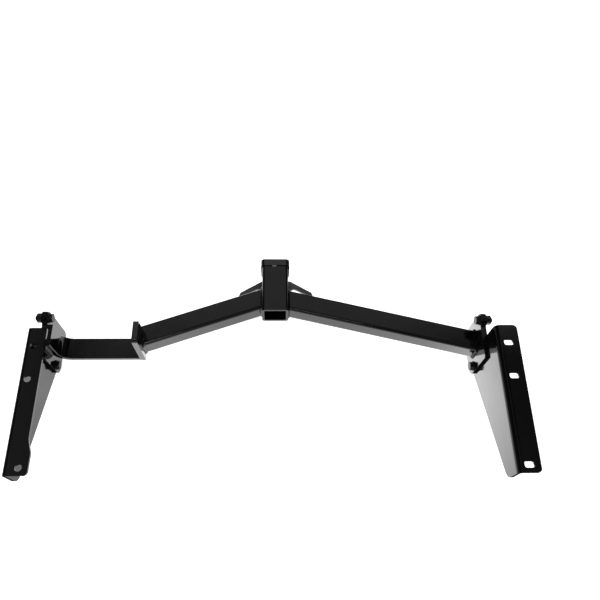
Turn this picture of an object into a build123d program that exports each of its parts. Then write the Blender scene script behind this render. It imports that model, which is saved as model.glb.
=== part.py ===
from build123d import *
from math import atan, degrees, sqrt
import os

# A vehicle receiver hitch: a bent cross member with a square receiver in its middle, hung from
# the vehicle's frame rails by two side brackets that bolt to the ends of the cross member.
# Millimetres. +X right, +Y to the rear (the receiver's mouth), +Z up.
# The origin is the centre of the hitch-pin hole, on the axis of the receiver.

# Receiver
RECEIVER = 63.5
RECEIVER_WALL = 5.5
RECEIVER_RADIUS = 7.0
RECEIVER_INNER_RADIUS = 3.0
RECEIVER_LENGTH = 138.0
PIN_TO_MOUTH = 58.5
PIN_HOLE = 16.3
COLLAR_WALL = 3.4
COLLAR_LENGTH = 17.2
COLLAR_RADIUS = 10.0
COLLAR_EDGE = 1.0
HALF_RECEIVER = RECEIVER / 2
UNDERSIDE = -HALF_RECEIVER

# Cross tubes, swept forward from the receiver's sides with their undersides level with its own
TUBE = 50.8
TUBE_WALL = 4.8
TUBE_RADIUS = 7.0
TUBE_INNER_RADIUS = 3.5
TUBE_Z = UNDERSIDE + TUBE / 2
RIGHT_SLOPE = 0.241
LEFT_SLOPE = 0.349
RIGHT_START_Y = -37.3
LEFT_START_Y = -29.8

# Chain plate
CHAIN_PLATE_THICK = 6.0
CHAIN_PLATE_X = 1.9

# Offset bar below the left end, and the upright that carries it
BAR_WIDTH = 50.8
BAR_THICK = 12.7
BAR_REAR = -130.5
BAR_EDGE = 1.5
BAR_BEND = 26.0
BAR_LEG_TOP = 65.0
UPRIGHT_X = -320.9
UPRIGHT_TOP = 83.0

# End plates: their outlines are given for the left, and the right stands a little further forward
SHEET = 6.4
RIGHT_PLATE_X = 478.5
LEFT_PLATE_X = -523.9
RIGHT_SHIFT = -6.5
TAB_REAR = -97.0
TAB_TOP = 63.0
TAB_BOTTOM = -66.5
EAR_RADIUS = 15.0
EAR_SET_IN = 1.5
EAR_Z = 61.5
PLATE_FRONT = -207.0
PLATE_FOOT_RADIUS = 22.0
LOWER_BOLT_Y = -194.5
LOWER_BOLT_Z = -29.0

# Rail brackets, bent from sheet
RIGHT_BEND = 6.4
LEFT_BEND = 1.6
FLANGE_TOP = 136.0
RIGHT_FLANGE_REAR = -164.4
LEFT_FLANGE_REAR = -170.1
RIGHT_FLANGE_FRONT = -485.4
LEFT_FLANGE_FRONT = -481.4
RIGHT_FLANGE = 48.8
LEFT_FLANGE = 41.5
LEFT_FRONT_TAB = 49.6
FRONT_TAB_LENGTH = 44.0
FRONT_TAB_RAMP = 27.0
RIGHT_WEB_FRONT = 68.4
LEFT_WEB_FRONT = 60.1
WEB_FRONT_RADIUS = 28.0
RIGHT_WEB_KNEE = -186.0
LEFT_WEB_KNEE = -180.0
RIGHT_WEB_X = RIGHT_PLATE_X + SHEET
LEFT_WEB_X = LEFT_PLATE_X - SHEET

# Rail fixings in the flanges, from the rear
SLOT_X = 510.0
SLOT_Y = (-205.3, -281.5, -469.0)
SLOT_LENGTH = 20.5
SLOT_WIDTH = 13.5
SLOT_CORNER = 5.0
HOLE = 14.3
HOLE_PLACES = ((-512.4, -212.0), (-512.4, -284.9), (-499.5, -466.6))

# Bolts through the end plates and the brackets
BOLT = 12.0
BOLT_HOLE = 13.0
HEAD_FLATS = 19.0
HEAD_HEIGHT = 7.5
NUT_HEIGHT = 10.4
WASHER = 24.0
WASHER_THICK = 2.5
THREAD_SHOWN = 3.5

# Fillet welds
BEAD = 6.0
SMALL_BEAD = 4.5
CHAIN_BEAD_REAR = 25.0
CHAIN_BEAD_LENGTH = 20.0
TACK_LEFT = -7.0
TACK_LENGTH = 10.0

# Longer than anything in the part, for slabs that cut it or keep a piece of it
BEYOND = 1200.0


def square_tube(size, wall, radius, inner_radius):
    """Section of a square tube with rounded corners."""
    inner = size - 2 * wall
    return RectangleRounded(size, size, radius) - RectangleRounded(inner, inner, inner_radius)


def outline(corners):
    """Closed outline from (x, y, corner radius) triples."""
    face = make_face(Polyline(*[(x, y) for x, y, _ in corners], close=True))
    for x, y, radius in corners:
        if radius:
            face = fillet(face.vertices().sort_by_distance((x, y, 0))[0], radius)
    return face


def upright_plate(face, x, thick):
    """Plate standing across X: its outline is drawn in (Y, Z) and it grows towards +X."""
    return extrude(Plane.YZ.offset(x) * face, thick)


def level_plate(face, z, thick):
    """Plate lying level: its outline is drawn in (X, Y) and it grows upward."""
    return extrude(Plane.XY.offset(z) * face, thick)


def receiver_tube():
    """Square receiver, open at both ends, with a pin hole through its side walls."""
    section = square_tube(RECEIVER, RECEIVER_WALL, RECEIVER_RADIUS, RECEIVER_INNER_RADIUS)
    tube = extrude(Plane.XZ.offset(-PIN_TO_MOUTH) * section, RECEIVER_LENGTH)
    return tube - Rot(0, 90, 0) * Cylinder(PIN_HOLE / 2, 2 * RECEIVER)


def mouth_collar():
    """Reinforcing ring round the receiver's mouth."""
    size = RECEIVER + 2 * COLLAR_WALL
    section = RectangleRounded(size, size, COLLAR_RADIUS)
    block = extrude(Plane.XZ.offset(-PIN_TO_MOUTH) * section, COLLAR_LENGTH)
    block = chamfer(block.faces().sort_by(Axis.Y)[-1].edges(), COLLAR_EDGE)
    tube = Plane.XZ.offset(-2 * PIN_TO_MOUTH) * RectangleRounded(RECEIVER, RECEIVER, RECEIVER_RADIUS)
    return block - extrude(tube, RECEIVER_LENGTH)


def cross_section_bar(section, side, start_y, slope):
    """Section run along a cross tube's swept line, through the middle of the hitch."""
    along = extrude(Plane.YZ * section, BEYOND, both=True)
    return Pos(0, start_y, TUBE_Z) * Rot(0, 0, -side * degrees(atan(slope))) * along


def between(side, near_x, far_x):
    """Slab that keeps what lies between two distances from the middle, on one side."""
    middle = side * (near_x + far_x) / 2
    return Pos(middle, 0, 0) * Box(far_x - near_x, BEYOND, BEYOND)


def cross_tube(side, start_y, slope, end_x):
    """Swept square tube, mitred to the receiver's side and to the plate at its outer end."""
    section = square_tube(TUBE, TUBE_WALL, TUBE_RADIUS, TUBE_INNER_RADIUS)
    return cross_section_bar(section, side, start_y, slope) & between(side, HALF_RECEIVER, end_x)


def left_cross_tube():
    """Left tube, its end notched so that the upright seats in it and its rear wall runs past."""
    tube = cross_tube(-1, LEFT_START_Y, LEFT_SLOPE, -UPRIGHT_X - 2)
    notch = Pos(UPRIGHT_X + BAR_THICK, BAR_REAR, 0) * Box(2 * BAR_THICK, 4 * BAR_WIDTH, 4 * TUBE,
                                                          align=(Align.MAX, Align.MAX, Align.CENTER))
    return tube - notch


def chain_plate():
    """Plate under the receiver and both cross tubes, with a hole each side for a safety chain."""
    half = outline([
        (0, 30.4, 0),
        (36.1, 30.4, 3),
        (89.6, -1.6, 3),
        (95.1, -15, 3),
        (95.1, -50, 6),
        (82.1, -62, 6),
        (0, -62, 0),
    ])
    hole = outline([
        (36.5, 14.5, 9),
        (36.5, -20, 5),
        (84, -20, 5),
        (84, -11.2, 3),
    ])
    wing = half - hole
    plan = Pos(CHAIN_PLATE_X, 0) * (wing + mirror(wing, Plane.YZ))
    return level_plate(plan, UNDERSIDE - CHAIN_PLATE_THICK, CHAIN_PLATE_THICK)


def offset_bar():
    """Flat bar that runs level from the upright and turns up against the left end plate."""
    face_x = LEFT_PLATE_X + SHEET
    leg_x = face_x + BAR_THICK
    top = UNDERSIDE + BAR_THICK
    profile = outline([
        (UPRIGHT_X, UNDERSIDE, 0),
        (UPRIGHT_X, top, 0),
        (leg_x, top, BAR_BEND),
        (leg_x, BAR_LEG_TOP, 0),
        (face_x, BAR_LEG_TOP, 0),
        (face_x, UNDERSIDE, BAR_BEND + BAR_THICK),
    ])
    bar = extrude(Plane.XZ.offset(-BAR_REAR) * profile, BAR_WIDTH)
    sides = bar.faces().filter_by(Axis.Y)
    lengthwise = [edge for edge in sides.edges() if abs(edge.center().X - UPRIGHT_X) > 1]
    return chamfer(lengthwise, BAR_EDGE)


def offset_upright():
    """Flat plate across the left cross tube's end, with the offset bar welded to its foot."""
    front = BAR_REAR - BAR_WIDTH
    face = outline([
        (BAR_REAR, UNDERSIDE, 0),
        (BAR_REAR, UPRIGHT_TOP, 2),
        (front, UPRIGHT_TOP, 9),
        (front, UNDERSIDE, 0),
    ])
    return upright_plate(face, UPRIGHT_X, BAR_THICK)


def tab_corners(shift):
    """Rear corners of the outline shared by an end plate and its bracket, below the ear."""
    rear = TAB_REAR + shift
    return [
        (rear, TAB_BOTTOM, 12),
        (rear, EAR_Z - 22, 12),
        (rear - EAR_SET_IN, EAR_Z, 0),
        (rear - 6, TAB_TOP, 0),
    ]


def bolt_places(shift):
    """(Y, Z) of the upper and the lower bolt of one side."""
    upper = (TAB_REAR + shift - EAR_SET_IN - EAR_RADIUS, EAR_Z)
    lower = (LOWER_BOLT_Y + shift, LOWER_BOLT_Z)
    return (upper, lower)


def with_ear(face, shift):
    """The outline with a round ear about the upper bolt, blended into its top edge."""
    (y, z), _ = bolt_places(shift)
    reach = sqrt(EAR_RADIUS ** 2 - (TAB_TOP - z) ** 2)
    face += Pos(y, z) * Circle(EAR_RADIUS)
    return fillet(face.vertices().sort_by_distance((y - reach, TAB_TOP, 0))[0], 5)


def drilled_for_bolts(plate, x, shift):
    """The plate at x with its two bolt holes."""
    for y, z in bolt_places(shift):
        plate -= Pos(x, y, z) * Rot(0, 90, 0) * Cylinder(BOLT_HOLE / 2, 4 * SHEET)
    return plate


def end_plate(x, shift):
    """Plate on the end of the cross member: an ear at the upper bolt, round corners at the lower."""
    front = PLATE_FRONT + shift
    face = outline(tab_corners(shift) + [
        (front, TAB_TOP, 6),
        (front, TAB_BOTTOM, PLATE_FOOT_RADIUS),
    ])
    plate = upright_plate(with_ear(face, shift), x, SHEET)
    return drilled_for_bolts(plate, x, shift)


def rail_bracket(web_x, shift, web_foot, bend, flange_corners, cutters):
    """Bent sheet: a deep tapering web beside the end plate and a level flange along the rail.

    web_x is the web's left face and bend the inside radius. The flange leaves the top of the
    web towards +X, and its outline starts at its rear left corner and ends at its front left
    one. web_foot is (y, z): the web's lower edge is level back from that y, and rises forward
    of it to that z at the front.
    """
    knee_y, front_z = web_foot
    flange_rear = flange_corners[0][1]
    flange_front = flange_corners[-1][1]
    section = outline([
        (0, 2 * TAB_BOTTOM, 0),
        (0, FLANGE_TOP, SHEET + bend),
        (2 * RIGHT_FLANGE, FLANGE_TOP, 0),
        (2 * RIGHT_FLANGE, FLANGE_TOP - SHEET, 0),
        (SHEET, FLANGE_TOP - SHEET, bend),
        (SHEET, 2 * TAB_BOTTOM, 0),
    ])
    bent = extrude(Plane.XZ * section, BEYOND, both=True)
    side_view = outline(tab_corners(shift) + [
        (flange_rear, TAB_TOP, 6),
        (flange_rear, 2 * FLANGE_TOP, 0),
        (flange_front, 2 * FLANGE_TOP, 0),
        (flange_front, front_z, WEB_FRONT_RADIUS),
        (knee_y, TAB_BOTTOM, 30),
    ])
    bent = Pos(web_x, 0, 0) * bent & upright_plate(with_ear(side_view, shift), web_x, 2 * RIGHT_FLANGE)
    plan = outline(flange_corners) + web_strip(web_x)
    bent = bent & level_plate(plan, 2 * TAB_BOTTOM, 4 * FLANGE_TOP)
    for cutter in cutters:
        bent -= cutter
    return drilled_for_bolts(bent, web_x, shift)


def web_strip(web_x):
    """Plan of the web, kept whole behind and beside the flange."""
    return Pos(web_x + SHEET / 2, 0) * Rectangle(SHEET, BEYOND)


def right_bracket():
    """Bracket with a wide flange turned outward and three slots across it."""
    outer = RIGHT_WEB_X + RIGHT_FLANGE
    corners = [
        (RIGHT_WEB_X, RIGHT_FLANGE_REAR, 0),
        (outer, RIGHT_FLANGE_REAR, 10),
        (outer, RIGHT_FLANGE_FRONT, 8),
        (RIGHT_WEB_X, RIGHT_FLANGE_FRONT, 0),
    ]
    slot = extrude(RectangleRounded(SLOT_LENGTH, SLOT_WIDTH, SLOT_CORNER), 2 * SHEET, both=True)
    slots = [Pos(SLOT_X, y, FLANGE_TOP) * slot for y in SLOT_Y]
    web_foot = (RIGHT_WEB_KNEE, RIGHT_WEB_FRONT)
    return rail_bracket(RIGHT_WEB_X, RIGHT_SHIFT, web_foot, RIGHT_BEND, corners, slots)


def left_bracket():
    """Bracket with a narrow flange turned inward, wider at its front tab, and three round holes."""
    inner = LEFT_WEB_X + LEFT_FLANGE
    tab = LEFT_WEB_X + LEFT_FRONT_TAB
    tab_rear = LEFT_FLANGE_FRONT + FRONT_TAB_LENGTH
    corners = [
        (LEFT_WEB_X, LEFT_FLANGE_REAR, 0),
        (inner, LEFT_FLANGE_REAR, 4),
        (inner, tab_rear + FRONT_TAB_RAMP, 40),
        (tab, tab_rear, 25),
        (tab, LEFT_FLANGE_FRONT, 9),
        (LEFT_WEB_X, LEFT_FLANGE_FRONT, 0),
    ]
    holes = [Pos(x, y, FLANGE_TOP) * Cylinder(HOLE / 2, 4 * SHEET) for x, y in HOLE_PLACES]
    web_foot = (LEFT_WEB_KNEE, LEFT_WEB_FRONT)
    return rail_bracket(LEFT_WEB_X, 0, web_foot, LEFT_BEND, corners, holes)


def bolt_stations():
    """Place of each bolt on its end plate's face, turned so that local +Z runs outward."""
    grip = SHEET + SHEET
    stations = []
    for face_x, side, shift in ((RIGHT_PLATE_X, 1, RIGHT_SHIFT), (LEFT_PLATE_X + SHEET, -1, 0)):
        for y, z in bolt_places(shift):
            stations.append((Pos(face_x, y, z) * Rot(0, side * 90, 0), grip))
    return stations


def hex_prism(height):
    """Hexagon with chamfered corners on its upper end."""
    across_corners = HEAD_FLATS / 0.866
    prism = extrude(RegularPolygon(across_corners / 2, 6), height)
    cone = Cone(across_corners / 2 + height - 1.2, across_corners / 2 - 1.2, height,
                align=(Align.CENTER, Align.CENTER, Align.MIN))
    return prism & cone


def bolts():
    """Hexagon bolts with their heads inside and their shanks through plate, web and nut."""
    shank_length = 2 * SHEET + 2 * WASHER_THICK + NUT_HEIGHT + THREAD_SHOWN
    shank = Cylinder(BOLT / 2, shank_length, align=(Align.CENTER, Align.CENTER, Align.MIN))
    shank = chamfer(shank.edges().sort_by(Axis.Z)[-1], 1.2)
    bolt = shank + Rot(180, 0, 0) * hex_prism(HEAD_HEIGHT)
    return Compound([place * Pos(0, 0, -WASHER_THICK) * bolt for place, _ in bolt_stations()])


def washers():
    """Flat washers under the heads and under the nuts."""
    base = (Align.CENTER, Align.CENTER, Align.MIN)
    ring = Cylinder(WASHER / 2, WASHER_THICK, align=base) - Cylinder(BOLT_HOLE / 2, WASHER_THICK, align=base)
    places = [place * Pos(0, 0, z) for place, grip in bolt_stations() for z in (-WASHER_THICK, grip)]
    return Compound([place * ring for place in places])


def nuts():
    """Hexagon nuts, bored to the bolts."""
    bore = Cylinder(BOLT / 2 + 0.1, 3 * NUT_HEIGHT)
    nut = hex_prism(NUT_HEIGHT) - bore
    return Compound([place * Pos(0, 0, grip + WASHER_THICK) * nut for place, grip in bolt_stations()])


def straight_bead(corner, first, second, run, size=BEAD):
    """Fillet weld in a corner: two legs of `size` along unit directions, swept along `run`."""
    corner = Vector(*corner)
    legs = [corner + Vector(*first) * size, corner + Vector(*second) * size]
    return extrude(make_face(Polyline(corner, *legs, close=True)), abs(Vector(*run)), dir=Vector(*run))


def ring_bead(side, start_y, slope, plate_x, away):
    """Fillet weld round a cross tube at a plate: plate_x is a distance from the middle.

    `away` is +1 when the tube leaves the plate outward and -1 when it comes in to it.
    """
    width = TUBE * sqrt(1 + slope ** 2)
    faces = []
    for x, spread in ((plate_x, BEAD), (plate_x + away * BEAD, 0.01)):
        place = Plane.YZ.offset(side * x) * Pos(start_y - slope * x, TUBE_Z)
        section = Rectangle(width + 2 * spread, TUBE + 2 * spread)
        faces.append(place * chamfer(section.vertices(), (TUBE_RADIUS + spread) / 2))
    core = cross_section_bar(RectangleRounded(TUBE, TUBE, TUBE_RADIUS), side, start_y, slope)
    return loft(faces) - core


def receiver_weld(side, start_y, slope):
    """Weld between a cross tube and the receiver's side, stopping at the chain plate."""
    above_plate = Pos(0, 0, UNDERSIDE) * Box(BEYOND, BEYOND, BEYOND,
                                             align=(Align.CENTER, Align.CENTER, Align.MIN))
    return ring_bead(side, start_y, slope, HALF_RECEIVER, 1) & above_plate


def upright_weld():
    """Weld round the left cross tube where the upright's face covers its end."""
    bead = ring_bead(-1, LEFT_START_Y, LEFT_SLOPE, -UPRIGHT_X - BAR_THICK, -1)
    seat = Pos(UPRIGHT_X, BAR_REAR, UNDERSIDE) * Box(BEYOND, BAR_WIDTH, BEYOND,
                                                     align=(Align.MIN, Align.MAX, Align.MIN))
    return bead & seat


def bar_foot_weld():
    """Weld in the corner between the offset bar's top and the upright."""
    corner = (UPRIGHT_X, BAR_REAR, UNDERSIDE + BAR_THICK)
    return straight_bead(corner, (-1, 0, 0), (0, 0, 1), (0, -BAR_WIDTH, 0), SMALL_BEAD)


def bar_leg_welds():
    """Welds up the front and the rear edge of the offset bar's turned-up leg."""
    face_x = LEFT_PLATE_X + SHEET
    foot = UNDERSIDE + BAR_THICK + BAR_BEND + 1
    run = (0, 0, BAR_LEG_TOP - 6 - foot)
    rear = straight_bead((face_x, BAR_REAR, foot), (1, 0, 0), (0, 1, 0), run, SMALL_BEAD)
    front = straight_bead((face_x, BAR_REAR - BAR_WIDTH, foot), (1, 0, 0), (0, -1, 0), run, SMALL_BEAD)
    return Compound([rear, front])


def chain_plate_welds():
    """Welds between the chain plate and the receiver's lower sides, behind the cross tubes."""
    beads = []
    for side in (1, -1):
        corner = (side * HALF_RECEIVER, CHAIN_BEAD_REAR, UNDERSIDE)
        beads.append(straight_bead(corner, (side, 0, 0), (0, 0, 1), (0, -CHAIN_BEAD_LENGTH, 0), SMALL_BEAD))
    return Compound(beads)


def collar_tacks():
    """Short welds that hold the collar to the top and the underside of the receiver."""
    near_edge = PIN_TO_MOUTH - COLLAR_LENGTH
    tacks = []
    for side in (1, -1):
        corner = (TACK_LEFT, near_edge, side * HALF_RECEIVER)
        tacks.append(straight_bead(corner, (0, -1, 0), (0, 0, side), (TACK_LENGTH, 0, 0), COLLAR_WALL))
    return Compound(tacks)


SUB_PARTS = {
    "receiver_tube": receiver_tube,
    "mouth_collar": mouth_collar,
    "right_cross_tube": lambda: cross_tube(1, RIGHT_START_Y, RIGHT_SLOPE, RIGHT_PLATE_X),
    "left_cross_tube": left_cross_tube,
    "chain_plate": chain_plate,
    "offset_bar": offset_bar,
    "offset_upright": offset_upright,
    "right_end_plate": lambda: end_plate(RIGHT_PLATE_X, RIGHT_SHIFT),
    "left_end_plate": lambda: end_plate(LEFT_PLATE_X, 0),
    "right_rail_bracket": right_bracket,
    "left_rail_bracket": left_bracket,
    "bracket_bolts": bolts,
    "bracket_washers": washers,
    "bracket_nuts": nuts,
    "right_receiver_weld": lambda: receiver_weld(1, RIGHT_START_Y, RIGHT_SLOPE),
    "left_receiver_weld": lambda: receiver_weld(-1, LEFT_START_Y, LEFT_SLOPE),
    "right_plate_weld": lambda: ring_bead(1, RIGHT_START_Y, RIGHT_SLOPE, RIGHT_PLATE_X, -1),
    "upright_weld": upright_weld,
    "bar_foot_weld": bar_foot_weld,
    "bar_leg_welds": bar_leg_welds,
    "chain_plate_welds": chain_plate_welds,
    "collar_tacks": collar_tacks,
}

os.makedirs("parts", exist_ok=True)
for name, make in SUB_PARTS.items():
    export_step(make(), f"parts/{name}.step")
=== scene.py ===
"""Looks of a vehicle's receiver tow bar frame: square tubes, plates and bent brackets, welded
and bolted together and painted gloss black. Metres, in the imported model's own frame."""

import math
import random

import bmesh
import bpy
from mathutils import Matrix, Vector


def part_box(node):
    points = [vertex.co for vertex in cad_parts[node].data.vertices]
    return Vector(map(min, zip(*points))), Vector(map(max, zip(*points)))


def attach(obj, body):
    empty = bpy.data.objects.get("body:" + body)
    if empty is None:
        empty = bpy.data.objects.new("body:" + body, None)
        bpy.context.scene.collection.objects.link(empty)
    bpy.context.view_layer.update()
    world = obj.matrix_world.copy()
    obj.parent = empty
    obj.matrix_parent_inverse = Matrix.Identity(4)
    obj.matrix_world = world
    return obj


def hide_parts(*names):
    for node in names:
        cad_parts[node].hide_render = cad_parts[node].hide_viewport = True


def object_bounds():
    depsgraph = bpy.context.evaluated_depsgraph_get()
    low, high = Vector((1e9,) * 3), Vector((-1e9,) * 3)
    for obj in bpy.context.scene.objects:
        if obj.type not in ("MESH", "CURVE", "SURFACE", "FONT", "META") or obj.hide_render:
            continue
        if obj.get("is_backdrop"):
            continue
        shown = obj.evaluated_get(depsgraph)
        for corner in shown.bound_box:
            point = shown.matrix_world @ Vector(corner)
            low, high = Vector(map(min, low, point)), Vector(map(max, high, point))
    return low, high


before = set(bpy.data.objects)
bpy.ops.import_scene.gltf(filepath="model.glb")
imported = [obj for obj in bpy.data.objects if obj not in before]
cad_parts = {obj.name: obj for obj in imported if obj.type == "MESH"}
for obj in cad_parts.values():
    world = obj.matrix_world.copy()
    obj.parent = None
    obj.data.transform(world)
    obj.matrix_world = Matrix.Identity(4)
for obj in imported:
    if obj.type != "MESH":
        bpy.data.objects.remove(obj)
cad_low, cad_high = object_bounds()


# ---- Camera -------------------------------------------------------------------------------
# It stands in front of the frame, on the vehicle's side, and looks steeply down on it.
# The lens is a short one, so the near ends of the brackets spread outward.

camera_data = bpy.data.cameras.new("camera")
camera_data.sensor_width = 36.0
camera_data.lens = 38.26
camera_data.clip_start = 0.05
camera_place = Vector((0.0023, -0.7228, 1.4122))
camera_pan = 0.0856
camera_dip = 1.1176
camera_roll = 0.0772
camera = bpy.data.objects.new("camera", camera_data)
camera.matrix_world = (
    Matrix.Translation(camera_place)
    @ Matrix.Rotation(-camera_pan, 4, "Z")
    @ Matrix.Rotation(math.pi / 2 - camera_dip, 4, "X")
    @ Matrix.Rotation(camera_roll, 4, "Z")
)
bpy.context.scene.collection.objects.link(camera)
bpy.context.scene.camera = camera
bpy.context.scene.view_settings.view_transform = "Standard"


# ---- Studio -------------------------------------------------------------------------------
# A white sheet under the frame in a dim room, brightest on the right. Only reflections see one
# dark spot on it, a painted dark reflection. The paint mirrors the sheet, a pale panel high up
# behind the frame, narrow walls beside the panel and a faint glow in front. The class writes
# the shader sums of all materials.


class Wire:
    """An output socket of a material's node, which sums can be written with."""

    def __init__(self, tree, socket=None):
        self.tree = tree
        self.socket = socket

    def node(self, kind, settings=None, sockets=None, output=0):
        """Adds a node, sets it, feeds its sockets, and gives the wire of one output."""
        made = self.tree.nodes.new("ShaderNode" + kind)
        settings = dict(settings or {})
        stops = settings.pop("stops", None)
        for name, value in settings.items():
            setattr(made, name, value)
        if stops:
            for place, _ in stops[1:-1]:
                made.color_ramp.elements.new(place)
            for element, (place, level) in zip(made.color_ramp.elements, stops):
                element.position = place
                element.color = (level, level, level, 1.0)
        for name, value in (sockets or {}).items():
            if isinstance(value, Wire):
                self.tree.links.new(value.socket, made.inputs[name])
            else:
                made.inputs[name].default_value = value
        return Wire(self.tree, made.outputs[output] if made.outputs else None)

    def math(self, operation, first, second):
        return self.node("Math", {"operation": operation}, {0: first, 1: second})

    def __add__(self, other):
        return self.math("ADD", self, other)

    def __radd__(self, other):
        return self.math("ADD", other, self)

    def __sub__(self, other):
        return self.math("SUBTRACT", self, other)

    def __rsub__(self, other):
        return self.math("SUBTRACT", other, self)

    def __mul__(self, other):
        return self.math("MULTIPLY", self, other)

    def __rmul__(self, other):
        return self.math("MULTIPLY", other, self)


def new_tree(owner):
    """An empty node tree on a material or world, as a wire to add nodes with."""
    owner.use_nodes = True
    owner.node_tree.nodes.clear()
    return Wire(owner.node_tree)


def add_object(name, bm):
    """Makes an object at the origin from a bmesh, with smooth faces, and frees the bmesh."""
    mesh = bpy.data.meshes.new(name)
    bm.to_mesh(mesh)
    bm.free()
    mesh.shade_smooth()
    piece = bpy.data.objects.new(name, mesh)
    bpy.context.scene.collection.objects.link(piece)
    return piece


def smooth(wires, value, start, end, low=0.0, high=1.0):
    """A wire that goes smoothly from low, where value is at start, to high, where it is at end."""
    return wires.node(
        "MapRange",
        {"interpolation_type": "SMOOTHSTEP"},
        {"Value": value, "From Min": start, "From Max": end, "To Min": low, "To Max": high},
    )


def across(wires, sideways, half_width, stops):
    """A level that follows (share of the width, level) stops from left to right."""
    share = wires.node("MapRange", None, {"Value": sideways, "From Min": -half_width, "From Max": half_width})
    return wires.node("ValToRGB", {"stops": stops}, {"Fac": share})


FLOOR_REACH = 6.0
SHEET_WHITE = 0.8
SHEET_SEEN = 0.88
SHEET_BRIGHTEST = 3.6
SHEET_BRIGHT_TO = 0.48
SHEET_DARK_FROM = 0.85
SHEET_HALF_WIDTH = 0.65
SHEET_STOPS = (
    (0.0, 0.34),
    (0.15, 0.38),
    (0.30, 0.57),
    (0.45, 0.42),
    (0.62, 0.46),
    (0.78, 0.63),
    (0.86, 0.98),
    (1.0, 1.0),
)
# A dark spot on the sheet that only glossy rays see: a painted dark reflection in the paint.
REFLECTED_DARK_SPOT = (0.22, 0.2, cad_low[2])
REFLECTED_DARK_REACH = 0.16
REFLECTED_DARK_SOFT_TO = 0.224
REFLECTED_DARK_LEVEL = 0.05

bm = bmesh.new()
bmesh.ops.create_grid(bm, x_segments=1, y_segments=1, size=FLOOR_REACH)
bmesh.ops.translate(bm, verts=bm.verts, vec=(0, 0, cad_low[2]))
floor = add_object("floor", bm)
sheet_material = bpy.data.materials.new("white_sheet")
wires = new_tree(sheet_material)
camera_ray = wires.node("LightPath", output="Is Camera Ray")
glossy_ray = wires.node("LightPath", output="Is Glossy Ray")
passing_ray = wires.node("LightPath", output="Is Transmission Ray")
place = wires.node("TexCoord", output="Object")
from_middle = wires.node("VectorMath", {"operation": "LENGTH"}, {0: place}, "Value")
from_reflected_dark = wires.node("VectorMath", {"operation": "DISTANCE"}, {0: place, 1: REFLECTED_DARK_SPOT}, "Value")
sideways = wires.node("SeparateXYZ", None, {0: place}, "X")
near = smooth(wires, from_middle, SHEET_BRIGHT_TO, SHEET_DARK_FROM, 1.0, 0.0)
# Near the spot, glossy rays see the sheet's glow and white fall dark, as a painted dark reflection.
off_reflected_dark = smooth(wires, from_reflected_dark, REFLECTED_DARK_REACH, REFLECTED_DARK_SOFT_TO, REFLECTED_DARK_LEVEL)
lit = across(wires, sideways, SHEET_HALF_WIDTH, SHEET_STOPS)
mirrored = (glossy_ray + passing_ray) * near * lit * off_reflected_dark * SHEET_BRIGHTEST
glow = wires.node("Emission", None, {"Strength": camera_ray * SHEET_SEEN + mirrored})
white = SHEET_WHITE * (1 - glossy_ray * (1 - off_reflected_dark))
tone = wires.node("CombineXYZ", None, {"X": white, "Y": white, "Z": white})
sheet = wires.node("BsdfDiffuse", None, {"Color": tone})
surface = wires.node("AddShader", None, {0: glow, 1: sheet})
wires.node("OutputMaterial", None, {"Surface": surface})
floor.data.materials.append(sheet_material)
floor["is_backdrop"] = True

# The room by direction: +X is to the right, +Y behind the frame, +Z overhead. Each edge is
# the pair of values between which a panel fades in.
ROOM_DARK = 0.02
WALL_BRIGHT = 1.33
WALL_HALF_WIDTH = 0.6
WALL_FOOT = (0.5, 0.7)
PANEL_STOPS = ((0.29, 0.0), (0.325, 1.0), (0.69, 1.0), (0.73, 0.65), (0.80, 0.9), (0.86, 0.0))
PANEL_EDGE = (0.345, 0.385)
LEFT_STOPS = (
    (0.10, 0.0),
    (0.135, 0.40),
    (0.215, 0.45),
    (0.229, 0.0),
    (0.252, 0.0),
    (0.260, 0.58),
    (0.315, 0.62),
    (0.335, 0.0),
)
RIGHT_STOPS = ((0.72, 0.0), (0.78, 0.15), (0.86, 0.08), (0.96, 0.0))
SIDE_WALL_EDGE = (0.0, 0.15)
FRONT_BRIGHT = 0.6
FRONT_EDGE = (0.26, 0.08)
FRONT_LEFT_EDGE = (-0.05, 0.12)
FRONT_LEFT_SHARE = 0.15
FRONT_RIGHT_EDGE = (0.28, 0.4)
FRONT_RIGHT_SHARE = 0.1
LOW_TOP = (0.35, 0.55)
LOW_EDGE = (-0.25, -0.5)
LOW_BEHIND = 0.15
LOW_IN_FRONT = 0.9

room = bpy.data.worlds.new("room")
bpy.context.scene.world = room
wires = new_tree(room)
camera_ray = wires.node("LightPath", output="Is Camera Ray")
direction = wires.node("TexCoord", output="Generated")
sideways, rearward, upward = (wires.node("SeparateXYZ", None, {0: direction}, axis) for axis in "XYZ")
panel, left_wall, right_wall = (
    across(wires, sideways, WALL_HALF_WIDTH, stops) for stops in (PANEL_STOPS, LEFT_STOPS, RIGHT_STOPS)
)
side_walls = (left_wall + right_wall) * smooth(wires, rearward, *SIDE_WALL_EDGE)
high = (panel * smooth(wires, rearward, *PANEL_EDGE) + side_walls) * smooth(wires, upward, *WALL_FOOT)
front = (
    smooth(wires, rearward, *FRONT_EDGE)
    * smooth(wires, sideways, *FRONT_LEFT_EDGE, FRONT_LEFT_SHARE, 1.0)
    * smooth(wires, sideways, *FRONT_RIGHT_EDGE, 1.0, FRONT_RIGHT_SHARE)
)
low = smooth(wires, upward, *LOW_TOP, 1.0, 0.0) * smooth(wires, rearward, *LOW_EDGE, LOW_BEHIND, LOW_IN_FRONT)
pale = high * WALL_BRIGHT + front * FRONT_BRIGHT + low + ROOM_DARK
back = wires.node("Background", None, {"Strength": camera_ray + (1 - camera_ray) * pale})
wires.node("OutputWorld", None, {"Surface": back})

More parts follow.
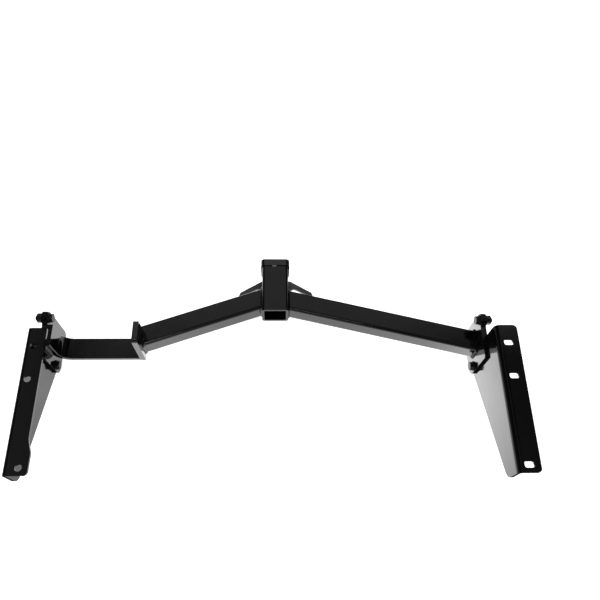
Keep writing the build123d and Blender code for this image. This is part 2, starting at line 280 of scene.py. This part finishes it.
# Name, place, width, depth and watts. Only the strip shows in the paint.
LAMPS = (
    ("lamp_strip", (-0.35, -0.86, 2.05), 0.9, 0.12, 8.0),
    ("lamp_rear_left", (-1.7, 1.5, 1.5), 0.8, 0.8, 30.0),
    ("lamp_rear_right", (1.7, 1.5, 1.5), 0.8, 0.8, 34.0),
)
LAMPS_AIM_AT = Vector((0, -0.2, 0))
for name, spot, wide, deep, watts in LAMPS:
    data = bpy.data.lights.new(name, "AREA")
    data.shape = "RECTANGLE"
    data.size = wide
    data.size_y = deep
    data.energy = watts
    lamp = bpy.data.objects.new(name, data)
    lamp.visible_glossy = name == "lamp_strip"
    aim = LAMPS_AIM_AT - Vector(spot)
    lamp.matrix_world = Matrix.Translation(spot) @ aim.to_track_quat("-Z", "Y").to_matrix().to_4x4()
    bpy.context.scene.collection.objects.link(lamp)


# ---- Receiver -----------------------------------------------------------------------------
# The square socket for a ball mount's shank and the collar round its mouth, in drawn steel
# tube. All the steel is painted gloss black. The paint is a little uneven, hazed and dusty,
# and it thins over sharp edges.

PAINT = (0.0020, 0.0020, 0.0022)
DUST = (0.030, 0.030, 0.031)
WORN = (0.016, 0.0155, 0.015)
MARK_STRETCH = 0.08
MARK_HEIGHT = 0.00004
PEEL_HEIGHT = 0.00002
WAVE_HEIGHT = 0.00020
SHEARED_LEAN = 0.75
SHEARED_ROUGH = 0.2


def two_tones(wires, share, first, second):
    """A colour between two, each an (r, g, b) or a wire."""
    first, second = (tone if isinstance(tone, Wire) else (*tone, 1.0) for tone in (first, second))
    return wires.node("Mix", {"data_type": "RGBA"}, {"Factor": share, 6: first, 7: second}, 2)


def gloss_paint(
    name, turn=0.0, grain=0.4, haze=0.5, dust=0.25, rough=0.1, edge=0.0007, gloss=1.3, cut=None
):
    """Gloss black paint over steel whose rolling or drawing marks run along X, turned by turn.

    grain is the depth of those marks, haze how cloudy the paint is, and dust how much lies on
    it. rough is its least roughness, gloss its refractive index, and edge how far it rounds
    corners. cut is the axis that a sheet's sheared edges face. They are dull, and they lean up
    a little, because a shear rolls their upper corner over.
    """
    material = bpy.data.materials.new(name)
    wires = new_tree(material)
    place = wires.node("TexCoord", output="Object")
    along = wires.node(
        "Mapping",
        {"vector_type": "TEXTURE"},
        {"Vector": place, "Rotation": (0, 0, turn), "Scale": (MARK_STRETCH, 1, 1)},
    )
    marks = wires.node("TexNoise", None, {"Vector": along, "Scale": 420.0, "Detail": 4.0, "Roughness": 0.6})
    peel = wires.node("TexNoise", None, {"Vector": place, "Scale": 620.0, "Detail": 1.5, "Roughness": 0.4})
    waves = wires.node("TexNoise", None, {"Vector": place, "Scale": 38.0, "Detail": 2.0, "Roughness": 0.5})
    clouds = wires.node(
        "TexNoise",
        None,
        {"Vector": place, "Scale": 17.0, "Detail": 5.0, "Roughness": 0.62, "Distortion": 0.4},
    )
    specks = wires.node(
        "TexVoronoi", {"feature": "F1"}, {"Vector": place, "Scale": 900.0, "Randomness": 1.0}, "Distance"
    )
    speck_size = wires.node("TexNoise", None, {"Vector": place, "Scale": 260.0, "Detail": 2.0})
    speck = wires.node("Math", {"operation": "LESS_THAN"}, {0: specks, 1: (speck_size - 0.42) * 0.55})
    round_edge = wires.node("Bevel", {"samples": 6}, {"Radius": edge})
    flat = wires.node("NewGeometry", output="Normal")
    facing = wires.node("VectorMath", {"operation": "DOT_PRODUCT"}, {0: round_edge, 1: flat}, "Value")
    thin = wires.node("MapRange", None, {"Value": facing, "From Min": 0.985, "From Max": 0.90})
    patchy = wires.node("MapRange", None, {"Value": speck_size + clouds, "From Min": 0.85, "From Max": 1.25})
    wear = thin * patchy
    lying = wires.node("SeparateXYZ", None, {0: flat}, "Z")
    settled = wires.node("MapRange", None, {"Value": lying, "From Min": 0.3, "From Max": 0.9})
    dusty = speck * settled * dust
    colour = two_tones(wires, wear, two_tones(wires, dusty, PAINT, DUST), WORN)
    cloud = smooth(wires, clouds, 0.38, 0.72)
    roughness = rough + cloud * (haze * 0.12) + marks * (grain * 0.05) + dusty * 0.5 + wear * 0.2
    height = marks * (grain * MARK_HEIGHT) + peel * PEEL_HEIGHT + waves * WAVE_HEIGHT
    normal = wires.node(
        "Bump", None, {"Strength": 0.6, "Distance": 1.0, "Height": height, "Normal": round_edge}
    )
    if cut:
        facing_cut = wires.node("SeparateXYZ", None, {0: flat}, cut)
        either_way = wires.node("Math", {"operation": "ABSOLUTE"}, {0: facing_cut})
        sheared = wires.node("MapRange", None, {"Value": either_way, "From Min": 0.6, "From Max": 0.8})
        roughness = roughness + sheared * SHEARED_ROUGH
        lean = wires.node("CombineXYZ", None, {"Z": sheared * SHEARED_LEAN})
        leaning = wires.node("VectorMath", {"operation": "ADD"}, {0: normal, 1: lean}, "Vector")
        normal = wires.node("VectorMath", {"operation": "NORMALIZE"}, {0: leaning}, "Vector")
    paint = wires.node(
        "BsdfPrincipled",
        None,
        {"Base Color": colour, "Roughness": roughness, "IOR": gloss, "Normal": normal},
    )
    wires.node("OutputMaterial", None, {"Surface": paint})
    return material


def finish_node(name, material):
    """Gives a CAD node its finish."""
    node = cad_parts[name]
    node.data.materials.clear()
    node.data.materials.append(material)


finish_node("receiver_tube", gloss_paint("receiver_paint", turn=math.pi / 2))
finish_node("mouth_collar", gloss_paint("collar_paint", grain=0.7, haze=0.8, gloss=1.42))


# ---- Cross tubes --------------------------------------------------------------------------
# Two lengths of square tube that sweep forward from the receiver's sides. Their drawing
# marks run along them, and the right one reaches its end plate.

RIGHT_SLOPE = 0.241
LEFT_SLOPE = 0.349

right_turn = -math.atan(RIGHT_SLOPE)
left_turn = math.atan(LEFT_SLOPE)
finish_node("right_cross_tube", gloss_paint("right_tube_paint", turn=right_turn))
finish_node("left_cross_tube", gloss_paint("left_tube_paint", turn=left_turn))


# ---- Chain plate --------------------------------------------------------------------------
# Flame-cut plate under the receiver. Its paint lies over mill scale, so it is duller and
# rougher than the tubes'.

chain_plate_paint = gloss_paint("chain_plate_paint", grain=1.6, haze=1.4, dust=0.9, rough=0.27, gloss=1.68)
finish_node("chain_plate", chain_plate_paint)


# ---- Offset bar and upright ---------------------------------------------------------------
# Hot-rolled flat bar: an upright across the left tube's end, and a level bar whose outer end
# is bent up against the end plate.

upright_paint = gloss_paint("upright_paint", turn=math.pi / 2, grain=0.5, haze=0.6, rough=0.09, gloss=1.40)
finish_node("offset_upright", upright_paint)
finish_node("offset_bar", gloss_paint("bar_paint", grain=0.5, haze=0.5, rough=0.08))


# ---- End plates and rail brackets ---------------------------------------------------------
# Cold-rolled sheet: flat plates on the cross member's ends, and bent brackets that bolt to
# them and reach along the vehicle's rails. The sheet is smooth, so its paint mirrors most.

for side in ("right", "left"):
    plate_paint = gloss_paint(side + "_plate_paint", turn=math.pi / 2, grain=0.3, rough=0.08, cut="Y")
    bracket_paint = gloss_paint(side + "_bracket_paint", turn=math.pi / 2, grain=0.3, rough=0.08, cut="Y")
    finish_node(side + "_end_plate", plate_paint)
    finish_node(side + "_rail_bracket", bracket_paint)


# ---- Bolts, washers and nuts --------------------------------------------------------------
# Four hexagon bolts, heads inside, hold the brackets to the end plates. Their finish is a
# thin black coating that shows bright steel on its sharpest corners. The bolts are made anew
# here to give them threads.

HEAD_FLATS = 0.019
HEAD_CORNER_CUT = 0.0016
WASHER_THICK = 0.0025
THREAD_RADIUS = 0.0060
THREAD_DEPTH = 0.0010
THREAD_PITCH = 0.00175
THREAD_STEPS = 24
COATING = (0.005, 0.005, 0.005)
BRIGHT_STEEL = (0.07, 0.068, 0.065)
GRIT_HEIGHT = 0.00003


def black_steel(name):
    """Thin black coating on a turned or forged steel fastener, worn at its corners."""
    material = bpy.data.materials.new(name)
    wires = new_tree(material)
    place = wires.node("TexCoord", output="Object")
    grit = wires.node("TexNoise", None, {"Vector": place, "Scale": 1500.0, "Detail": 3.0})
    clouds = wires.node("TexNoise", None, {"Vector": place, "Scale": 160.0, "Detail": 3.0, "Roughness": 0.6})
    round_edge = wires.node("Bevel", {"samples": 6}, {"Radius": 0.0006})
    flat = wires.node("NewGeometry", output="Normal")
    facing = wires.node("VectorMath", {"operation": "DOT_PRODUCT"}, {0: round_edge, 1: flat}, "Value")
    corner = wires.node("MapRange", None, {"Value": facing, "From Min": 0.99, "From Max": 0.90})
    rubbed = corner * wires.node("MapRange", None, {"Value": clouds, "From Min": 0.42, "From Max": 0.62})
    colour = two_tones(wires, rubbed, COATING, BRIGHT_STEEL)
    height = grit * GRIT_HEIGHT
    bump = wires.node(
        "Bump", None, {"Strength": 0.5, "Distance": 1.0, "Height": height, "Normal": round_edge}
    )
    steel = wires.node(
        "BsdfPrincipled",
        None,
        {
            "Base Color": colour,
            "Roughness": 0.38 + clouds * 0.2,
            "Metallic": rubbed * 0.6,
            "IOR": 1.3,
            "Normal": bump,
        },
    )
    wires.node("OutputMaterial", None, {"Surface": steel})
    return material


fastener_steel = black_steel("fastener_steel")
for name in ("bracket_washers", "bracket_nuts"):
    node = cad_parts[name]
    node.data.materials.clear()
    node.data.materials.append(fastener_steel)


def solid_boxes(name):
    """(lowest corner, highest corner) of each separate solid of a CAD node."""
    bm = bmesh.new()
    bm.from_mesh(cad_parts[name].data)
    bmesh.ops.remove_doubles(bm, verts=bm.verts, dist=1e-6)
    left = set(bm.verts)
    boxes = []
    while left:
        group = {left.pop()}
        edge_on = set(group)
        while edge_on:
            edge_on = {e.other_vert(v) for v in edge_on for e in v.link_edges} - group
            group |= edge_on
        left -= group
        corners = [[f(v.co[axis] for v in group) for axis in range(3)] for f in (min, max)]
        boxes.append((Vector(corners[0]), Vector(corners[1])))
    bm.free()
    return boxes


bm = bmesh.new()
plate_face = {1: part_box("right_end_plate")[0].x, -1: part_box("left_end_plate")[1].x}
for low, high in solid_boxes("bracket_bolts"):
    side = 1 if low.x > 0 else -1
    inner_end = low.x if side > 0 else high.x
    outer_end = high.x if side > 0 else low.x
    grip_start = plate_face[side] - side * WASHER_THICK
    head_height = abs(grip_start - inner_end)
    length = abs(outer_end - grip_start)
    bolt = bmesh.new()
    bmesh.ops.create_circle(bolt, cap_ends=True, segments=6, radius=HEAD_FLATS / math.sqrt(3))
    top = bmesh.ops.extrude_face_region(bolt, geom=bolt.faces[:])["geom"]
    top_corners = [g for g in top if isinstance(g, bmesh.types.BMVert)]
    bmesh.ops.translate(bolt, verts=top_corners, vec=(0, 0, -head_height))
    bmesh.ops.bevel(
        bolt,
        geom=top_corners,
        offset=HEAD_CORNER_CUT,
        segments=1,
        profile=0.5,
        affect="VERTICES",
        material=-1,
    )
    bmesh.ops.recalc_face_normals(bolt, faces=bolt.faces)
    tooth = [
        bolt.verts.new((THREAD_RADIUS - THREAD_DEPTH, 0, 0)),
        bolt.verts.new((THREAD_RADIUS, 0, THREAD_PITCH / 2)),
        bolt.verts.new((THREAD_RADIUS - THREAD_DEPTH, 0, THREAD_PITCH)),
    ]
    thread = [bolt.edges.new(tooth[0:2]), bolt.edges.new(tooth[1:3])]
    turns = int((length - THREAD_PITCH) / THREAD_PITCH)
    bmesh.ops.spin(
        bolt,
        geom=tooth + thread,
        cent=(0, 0, 0),
        axis=(0, 0, 1),
        dvec=(0, 0, THREAD_PITCH / THREAD_STEPS),
        angle=2 * math.pi * turns,
        steps=THREAD_STEPS * turns,
    )
    tip = bmesh.ops.create_cone(
        bolt,
        cap_ends=True,
        segments=THREAD_STEPS,
        radius1=THREAD_RADIUS - THREAD_DEPTH * 0.6,
        radius2=THREAD_RADIUS - THREAD_DEPTH * 1.6,
        depth=length,
    )["verts"]
    bmesh.ops.translate(bolt, verts=tip, vec=(0, 0, length / 2))
    centre = (low + high) / 2
    seat = Matrix.Translation((grip_start, centre.y, centre.z))
    bmesh.ops.transform(bolt, matrix=seat @ Matrix.Rotation(side * math.pi / 2, 4, "Y"), verts=bolt.verts)
    part = bpy.data.meshes.new("bolt")
    bolt.to_mesh(part)
    bolt.free()
    bm.from_mesh(part)
bolts = add_object("hex_bolts", bm)
bolts.data.materials.append(fastener_steel)
for polygon in bolts.data.polygons:
    polygon.use_smooth = False
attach(bolts, "root")
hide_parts("bracket_bolts")


# ---- Welds --------------------------------------------------------------------------------
# Fillet beads laid by hand in short overlapping ripples, under the same black paint. Each
# piece replaces the plain bead of the same name.

LEG = 0.006
SMALL_LEG = 0.0045
TACK_LEG = 0.0036
RIPPLE = 0.0021
STEPS_A_RIPPLE = 4
SIDES = 10
SCALE_HEIGHT = 0.00006
SOOT_HEIGHT = 0.0001
TUBE = 0.0508
TUBE_RADIUS = 0.007
RIPPLE_SWELL = 0.08
BEAD_WANDER = 0.05
BEAD_SETTLE = 0.15
BEAD_END = 0.35
CROWN_OUT = 0.30
CROWN_HEIGHT = 0.34
CROWN_LEAN = 0.10
BEAD_HALF_WIDTH = 0.66
FACES_DOWN = -0.6

receiver_low, receiver_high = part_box("receiver_tube")
upright_low, upright_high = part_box("offset_upright")
bar_low, bar_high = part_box("offset_bar")
underside = receiver_low.z
tube_middle = underside + TUBE / 2
welder = random.Random(7)


def lay_bead(bm, path, leg, closed=False):
    """Runs a bead along (corner, first leg's direction, second leg's direction, way) stations."""
    rings = []
    before = None
    drift = 0.0
    for index, (corner, first, second, way) in enumerate(path):
        phase = index % STEPS_A_RIPPLE / STEPS_A_RIPPLE
        if phase == 0:
            drift += welder.uniform(-BEAD_WANDER, BEAD_WANDER) - drift * BEAD_SETTLE
        swell = 1.0 + RIPPLE_SWELL * (1 - phase) + drift
        if not closed:
            from_end = min(index, len(path) - 1 - index) * RIPPLE / STEPS_A_RIPPLE
            swell *= min(1.0, BEAD_END + from_end / leg)
        crown = (first + second).normalized()
        width = (first - second).normalized()
        place = Matrix.Identity(4)
        place.col[0].xyz = crown * (CROWN_HEIGHT * leg * swell) + way * (CROWN_LEAN * leg)
        place.col[1].xyz = width * (BEAD_HALF_WIDTH * leg * swell)
        place.col[2].xyz = way
        place.col[3].xyz = corner + crown * (CROWN_OUT * leg)
        if before is None:
            made = bmesh.ops.create_circle(bm, segments=SIDES, radius=1.0, matrix=place)
            verts = made["verts"]
            edges = list({e for v in verts for e in v.link_edges})
        else:
            made = bmesh.ops.extrude_edge_only(bm, edges=edges)["geom"]
            verts = [g for g in made if isinstance(g, bmesh.types.BMVert)]
            new_edges = [g for g in made if isinstance(g, bmesh.types.BMEdge)]
            edges = [edge for edge in new_edges if all(v in verts for v in edge.verts)]
            bmesh.ops.transform(bm, matrix=place @ before.inverted(), verts=verts)
        before = place
        rings.append(edges)
    if closed:
        bmesh.ops.bridge_loops(bm, edges=rings[0] + rings[-1])
    else:
        for edges in (rings[0], rings[-1]):
            bmesh.ops.contextual_create(bm, geom=edges)


def straight_path(start, run, first, second):
    """Stations along a straight corner."""
    start, run = Vector(start), Vector(run)
    steps = max(2, round(run.length / RIPPLE * STEPS_A_RIPPLE))
    way = run.normalized()
    return [(start + run * (i / steps), Vector(first), Vector(second), way) for i in range(steps + 1)]


def tube_path(plate_x, middle_y, slope, away):
    """Stations round a swept tube where it meets a plate at plate_x, from its underside's middle.

    away is the tube's direction from the plate, along X.
    """
    half_y = TUBE / 2 * math.sqrt(1 + slope ** 2)
    half_z = TUBE / 2
    along = Vector((away, slope, 0)).normalized()
    flat_y = half_y - TUBE_RADIUS
    flat_z = half_z - TUBE_RADIUS
    bend = TUBE_RADIUS * math.pi / 2
    runs = (flat_y, bend, 2 * flat_z, bend, 2 * flat_y, bend, 2 * flat_z, bend, flat_y)
    total = sum(runs)
    ripples = round(total / RIPPLE)
    stations = []
    for index in range(ripples * STEPS_A_RIPPLE):
        left = total * index / (ripples * STEPS_A_RIPPLE)
        turned = -math.pi / 2
        spot = Vector((0, 0, -half_z))
        for number, run in enumerate(runs):
            share = min(left, run)
            normal = Vector((0, math.cos(turned), math.sin(turned)))
            forward = Vector((0, -normal.z, normal.y))
            if number % 2:
                swung = share / TUBE_RADIUS
                centre = spot - normal * TUBE_RADIUS
                turned += swung
                normal = Vector((0, math.cos(turned), math.sin(turned)))
                forward = Vector((0, -normal.z, normal.y))
                spot = centre + normal * TUBE_RADIUS
            else:
                spot = spot + forward * share
            left -= share
            if left <= 0:
                break
        stations.append((Vector((plate_x, middle_y, tube_middle)) + spot, normal, along, forward))
    return stations


def weld_paint(name, clean=PAINT, soot_and_painted_light_tone=0.019, gloss=1.28):
    """Black paint over a bead: sooty specks and fine scale lie in its hollows.

    clean is the paint between the specks, the speck tone how pale they are, and gloss its
    refractive index. A dark speck tone and low gloss make a copy painted darker as shade, and
    pale paint and specks make one painted pale as a highlight.
    """
    material = bpy.data.materials.new(name)
    wires = new_tree(material)
    place = wires.node("TexCoord", output="Object")
    scale = wires.node("TexNoise", None, {"Vector": place, "Scale": 1300.0, "Detail": 3.0, "Roughness": 0.7})
    soot = wires.node("TexNoise", None, {"Vector": place, "Scale": 230.0, "Detail": 4.0, "Roughness": 0.6})
    dull = smooth(wires, soot, 0.45, 0.65)
    colour = two_tones(wires, dull, clean, (soot_and_painted_light_tone, soot_and_painted_light_tone, soot_and_painted_light_tone))
    height = scale * SCALE_HEIGHT + soot * SOOT_HEIGHT
    bump = wires.node("Bump", None, {"Strength": 0.7, "Distance": 1.0, "Height": height})
    paint = wires.node(
        "BsdfPrincipled",
        None,
        {"Base Color": colour, "Roughness": 0.2 + dull * 0.25, "IOR": gloss, "Normal": bump},
    )
    wires.node("OutputMaterial", None, {"Surface": paint})
    return material


# The two beads on the right tube get a darker, less glossy copy of the paint: painted shade. The
# collar's tacks are painted pale all over: a painted highlight.
bead_paint = weld_paint("bead_paint")
# Darker specks and a low gloss: painted shade on the right tube's beads.
shaded_bead_paint = weld_paint("shaded_bead_paint", soot_and_painted_light_tone=0.004, gloss=1.12)
# Pale paint and pale specks: a painted highlight on the collar's tacks.
tack_highlight_paint = weld_paint("tack_highlight_paint", clean=(0.22, 0.22, 0.22), soot_and_painted_light_tone=0.6)


def add_weld(node, beads, closed=False, paint=bead_paint):
    """Makes one piece of the beads, each a (path, leg), in place of a CAD weld."""
    bm = bmesh.new()
    for path, leg in beads:
        lay_bead(bm, path, leg, closed)
    bmesh.ops.recalc_face_normals(bm, faces=bm.faces)
    piece = add_object(node + "_bead", bm)
    piece.data.materials.append(paint)
    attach(piece, "root")
    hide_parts(node)


def off_underside(path):
    """The stations that don't lie on the tube's underside, where a plate or bar is in the way."""
    return [station for station in path if station[1].z > FACES_DOWN]


right_y = (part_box("right_receiver_weld")[0].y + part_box("right_receiver_weld")[1].y) / 2
left_y = (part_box("left_receiver_weld")[0].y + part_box("left_receiver_weld")[1].y) / 2
right_path = tube_path(receiver_high.x, right_y, -RIGHT_SLOPE, 1)
left_path = tube_path(receiver_low.x, left_y, -LEFT_SLOPE, -1)
add_weld("right_receiver_weld", [(off_underside(right_path), LEG)], paint=shaded_bead_paint)
add_weld("left_receiver_weld", [(off_underside(left_path), LEG)])

plate_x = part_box("right_end_plate")[0].x
plate_y = right_y - RIGHT_SLOPE * (plate_x - receiver_high.x)
plate_path = tube_path(plate_x, plate_y, RIGHT_SLOPE, -1)
add_weld("right_plate_weld", [(plate_path, LEG)], closed=True, paint=shaded_bead_paint)

seat_x = upright_high.x
seat_y = left_y - LEFT_SLOPE * (receiver_low.x - seat_x)
seat_path = [
    station
    for station in off_underside(tube_path(seat_x, seat_y, LEFT_SLOPE, 1))
    if upright_low.y < station[0].y < upright_high.y
]
add_weld("upright_weld", [(seat_path, LEG)])

bar_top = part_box("bar_foot_weld")[0].z
forward = (0, bar_low.y - bar_high.y, 0)
foot_path = straight_path((upright_low.x, bar_high.y, bar_top), forward, (-1, 0, 0), (0, 0, 1))
add_weld("bar_foot_weld", [(foot_path, SMALL_LEG)])

leg_weld_low, leg_weld_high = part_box("bar_leg_welds")
climb = (0, 0, leg_weld_high.z - leg_weld_low.z)
leg_rear = straight_path((bar_low.x, bar_high.y, leg_weld_low.z), climb, (1, 0, 0), (0, 1, 0))
leg_front = straight_path((bar_low.x, bar_low.y, leg_weld_low.z), climb, (1, 0, 0), (0, -1, 0))
add_weld("bar_leg_welds", [(leg_rear, SMALL_LEG), (leg_front, SMALL_LEG)])

chain_low, chain_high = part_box("chain_plate_welds")
forward = (0, chain_low.y - chain_high.y, 0)
chain_right = straight_path((receiver_high.x, chain_high.y, underside), forward, (1, 0, 0), (0, 0, 1))
chain_left = straight_path((receiver_low.x, chain_high.y, underside), forward, (-1, 0, 0), (0, 0, 1))
add_weld("chain_plate_welds", [(chain_right, SMALL_LEG), (chain_left, SMALL_LEG)])

tack_low, tack_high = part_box("collar_tacks")
rightward = (tack_high.x - tack_low.x, 0, 0)
tack_top = straight_path((tack_low.x, tack_high.y, receiver_high.z), rightward, (0, -1, 0), (0, 0, 1))
tack_below = straight_path((tack_low.x, tack_high.y, receiver_low.z), rightward, (0, -1, 0), (0, 0, -1))
add_weld("collar_tacks", [(tack_top, TACK_LEG), (tack_below, TACK_LEG)], paint=tack_highlight_paint)

low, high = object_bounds()
